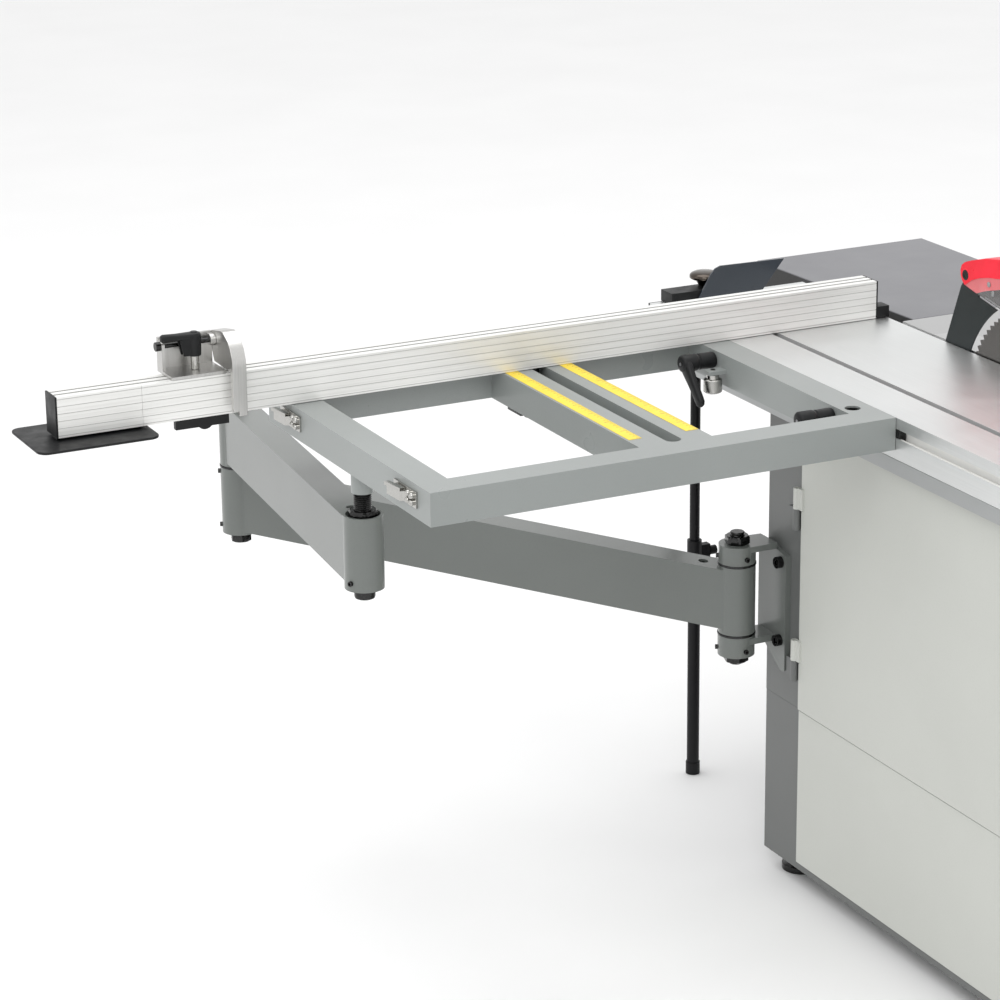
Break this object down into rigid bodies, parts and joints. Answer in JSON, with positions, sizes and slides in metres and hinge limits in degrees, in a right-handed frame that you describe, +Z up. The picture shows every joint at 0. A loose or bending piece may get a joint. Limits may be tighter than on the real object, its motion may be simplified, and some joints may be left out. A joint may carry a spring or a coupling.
{
  "type": "sliding table panel saw",
  "caption": "Panel saw: a rolling carriage with a crosscut frame and angled fence carries boards past a tilting, rising circular blade in a cabinet.",
  "frame": {"origin": "on the floor below the centre of the main blade", "axes": "+X from the sliding table towards the main table, +Y the cutting direction away from the operator, +Z up"},
  "size_m": [1.934, 1.827, 1.053],
  "materials": {
    "alu_fence": "anodised, fine grooves",
    "alu_rail": "anodised",
    "alu_slide": "anodised",
    "arm_paint": "satin mid grey powder coat",
    "bare_steel": "machined",
    "belt_rubber": "ribbed",
    "black_paint": "satin black",
    "black_plastic": "fine grain",
    "black_steel": "black oxide",
    "blade_steel": "ground",
    "cabinet_paint": "satin grey powder coat",
    "door_paint": "off-white powder coat",
    "frame_paint": "satin light grey powder coat",
    "green_plastic": "moulded",
    "grey_plastic": "moulded",
    "guard_red": "moulded",
    "insert_alu": "satin",
    "knife_steel": "dark",
    "motor_paint": "dark grey",
    "nickel": "nickel plated",
    "rear_table_paint": "satin grey powder coat",
    "red_plastic": "moulded",
    "shoe_blue": "dark blue-grey, satin",
    "shoe_bronze": "dark chrome",
    "table_iron": "ground",
    "yellow_scale": "printed tape"
  },
  "bodies": {
    "machine": {"cabinet_shell": "cabinet_paint", "cabinet_plinth": "cabinet_paint", "plinth_cover": "door_paint", "levelling_feet": "black_steel", "main_table": "table_iron", "table_insert": "insert_alu", "rear_extension_table": "rear_table_paint", "fixed_rail": "alu_rail", "leg_tube": "black_paint", "arm_bracket": "arm_paint", "bracket_screws": "black_steel", "base_pivot_bolt": "black_steel", "dust_port": "grey_plastic"},
    "door": {"access_door": "door_paint"},
    "leg_foot": {"leg_sleeve": "black_paint"},
    "leg_screw_knob": {"leg_screw": "black_plastic"},
    "start": {"start_button": "green_plastic"},
    "stop_switch": {"stop_button": "red_plastic"},
    "carriage": {"sliding_table": "alu_slide", "slide_end_caps": "black_plastic", "crosscut_frame": "frame_paint", "scale_strips": "yellow_scale", "frame_clamp_blocks": "black_steel", "location_catches": "nickel"},
    "cage": {"ball_cage": "bare_steel"},
    "far_lever": {"far_clamp_lever": "black_plastic"},
    "near_lever": {"near_clamp_lever": "black_plastic"},
    "knob": {"index_knob": "nickel"},
    "shoe": {"shoe_bar": "black_plastic", "shoe_plate": "shoe_blue"},
    "shoe_grip": {"shoe_knob": "shoe_bronze"},
    "angle_block": {"angle_clamp": "black_steel"},
    "fence": {"fence_profile": "alu_fence", "fence_nose": "black_plastic", "fence_pivot_pin": "bare_steel", "extension_clamp": "black_plastic"},
    "extension": {"fence_extension": "alu_fence", "extension_bar": "alu_slide", "extension_cap": "black_plastic", "end_support_plate": "black_plastic"},
    "stop_slider": {"stop_body": "alu_slide", "stop_pin": "black_steel"},
    "stop_finger": {"stop_arm": "alu_fence"},
    "stop_handle": {"stop_lever": "black_plastic"},
    "inner_swing_arm": {"inner_arm": "arm_paint", "elbow_bolt": "black_steel"},
    "outer_swing_arm": {"outer_arm": "arm_paint", "support_post": "black_steel"},
    "trunnion": {"tilt_frame": "bare_steel"},
    "blade_unit": {"blade_carrier": "bare_steel", "motor": "motor_paint", "riving_knife": "knife_steel", "blade_guard": "guard_red", "drive_belt": "belt_rubber"},
    "spindle": {"arbor": "bare_steel", "main_blade": "blade_steel", "arbor_nut": "black_steel"},
    "motor_rotor": {"motor_pulley": "bare_steel"},
    "tilt_wheel": {"tilt_handwheel": "black_plastic"},
    "rise_wheel": {"rise_handwheel": "black_plastic"}
  },
  "joints": [
    {"name": "door_swing", "type": "hinge", "parent": "machine", "child": "door", "pos_m": [-0.286, 0.219, 0.5], "axis": [0, 0, -1], "range_deg": [0, 95]},
    {"name": "leg_height", "type": "slide", "parent": "machine", "child": "leg_foot", "axis": [0, 0, 1], "range_m": [0, 0.05]},
    {"name": "leg_screw_turn", "type": "hinge", "parent": "leg_foot", "child": "leg_screw_knob", "pos_m": [-0.158, 0.704, 0.412], "axis": [1, 0, 0], "range_deg": [0, 300]},
    {"name": "start_press", "type": "slide", "parent": "machine", "child": "start", "axis": [0, 1, 0], "range_m": [0, 0.004], "stiffness_N_per_m": 1500},
    {"name": "stop_press", "type": "slide", "parent": "machine", "child": "stop_switch", "axis": [0, 1, 0], "range_m": [0, 0.004], "stiffness_N_per_m": 1500},
    {"name": "carriage_slide", "type": "slide", "parent": "machine", "child": "carriage", "axis": [0, 1, 0], "range_m": [-0.85, 0.08]},
    {"name": "cage_slide", "type": "slide", "parent": "machine", "child": "cage", "axis": [0, 1, 0], "range_m": [-0.425, 0.04]},
    {"name": "far_lever_turn", "type": "hinge", "parent": "carriage", "child": "far_lever", "pos_m": [-0.37, 0.37, 0.864], "axis": [1, 0, 0], "range_deg": [-40, 60]},
    {"name": "near_lever_turn", "type": "hinge", "parent": "carriage", "child": "near_lever", "pos_m": [-0.37, 0.017, 0.864], "axis": [1, 0, 0], "range_deg": [-60, 60]},
    {"name": "index_knob_turn", "type": "hinge", "parent": "carriage", "child": "knob", "pos_m": [-0.372, 0.338, 0.835], "axis": [0, 0, 1], "range_deg": [0, 300]},
    {"name": "shoe_slide", "type": "slide", "parent": "carriage", "child": "shoe", "axis": [0, 1, 0], "range_m": [-0.16, 0]},
    {"name": "shoe_knob_turn", "type": "hinge", "parent": "shoe", "child": "shoe_grip", "pos_m": [-0.2, 0.665, 0.91], "axis": [0, 0, 1], "range_deg": [0, 300]},
    {"name": "fence_swing", "type": "hinge", "parent": "carriage", "child": "fence", "pos_m": [-0.3324, 0.427, 0.88], "axis": [0, 0, 1], "range_deg": [0, 25]},
    {"name": "angle_clamp_slide", "type": "slide", "parent": "carriage", "child": "angle_block", "axis": [0, 1, 0], "range_m": [-0.15, 0]},
    {"name": "extension_pull", "type": "slide", "parent": "fence", "child": "extension", "axis": [-1, 0, 0], "range_m": [0, 0.45]},
    {"name": "stop_travel", "type": "slide", "parent": "fence", "child": "stop_slider", "axis": [1, 0, 0], "range_m": [-0.02, 0.9]},
    {"name": "stop_flip", "type": "hinge", "parent": "stop_slider", "child": "stop_finger", "pos_m": [-1.149, 0.452, 0.985], "axis": [-1, 0, 0], "range_deg": [0, 100]},
    {"name": "stop_handle_turn", "type": "hinge", "parent": "stop_slider", "child": "stop_handle", "pos_m": [-1.202, 0.436, 0.98], "axis": [0, 0, 1], "range_deg": [0, 80]},
    {"name": "inner_arm_swing", "type": "hinge", "parent": "machine", "child": "inner_swing_arm", "pos_m": [-0.345, 0.302, 0.485], "axis": [0, 0, 1], "range_deg": [-8, 72]},
    {"name": "elbow_swing", "type": "hinge", "parent": "inner_swing_arm", "child": "outer_swing_arm", "pos_m": [-0.972, 0.862, 0.705], "axis": [0, 0, 1], "range_deg": [-60, 10]},
    {"name": "blade_tilt", "type": "hinge", "parent": "machine", "child": "trunnion", "pos_m": [0, 0, 0.88], "axis": [0, 1, 0], "range_deg": [0, 45]},
    {"name": "blade_lower", "type": "slide", "parent": "trunnion", "child": "blade_unit", "axis": [0, 0, -1], "range_m": [0, 0.033]},
    {"name": "blade_spin", "type": "hinge", "parent": "blade_unit", "child": "spindle", "pos_m": [0, 0, 0.805], "axis": [1, 0, 0], "continuous": true},
    {"name": "motor_spin", "type": "hinge", "parent": "blade_unit", "child": "motor_rotor", "pos_m": [0.075, 0, 0.595], "axis": [1, 0, 0], "continuous": true},
    {"name": "tilt_wheel_turn", "type": "hinge", "parent": "machine", "child": "tilt_wheel", "pos_m": [-0.06, -0.438, 0.59], "axis": [0, 1, 0], "range_deg": [0, 2880]},
    {"name": "rise_wheel_turn", "type": "hinge", "parent": "machine", "child": "rise_wheel", "pos_m": [0.24, -0.438, 0.59], "axis": [0, 1, 0], "range_deg": [0, 1056]}
  ],
  "couplings": [
    {"joint": "cage_slide", "follows": "carriage_slide", "ratio": 0.5},
    {"joint": "inner_arm_swing", "follows": "carriage_slide", "rad_per_m": -1.277},
    {"joint": "elbow_swing", "follows": "carriage_slide", "rad_per_m": 0.99},
    {"joint": "angle_clamp_slide", "follows": "fence_swing", "m_per_rad": -0.3346},
    {"joint": "motor_spin", "follows": "blade_spin", "ratio": 0.7143},
    {"joint": "tilt_wheel_turn", "follows": "blade_tilt", "ratio": 64},
    {"joint": "rise_wheel_turn", "follows": "blade_lower", "rad_per_m": 558.5}
  ]
}
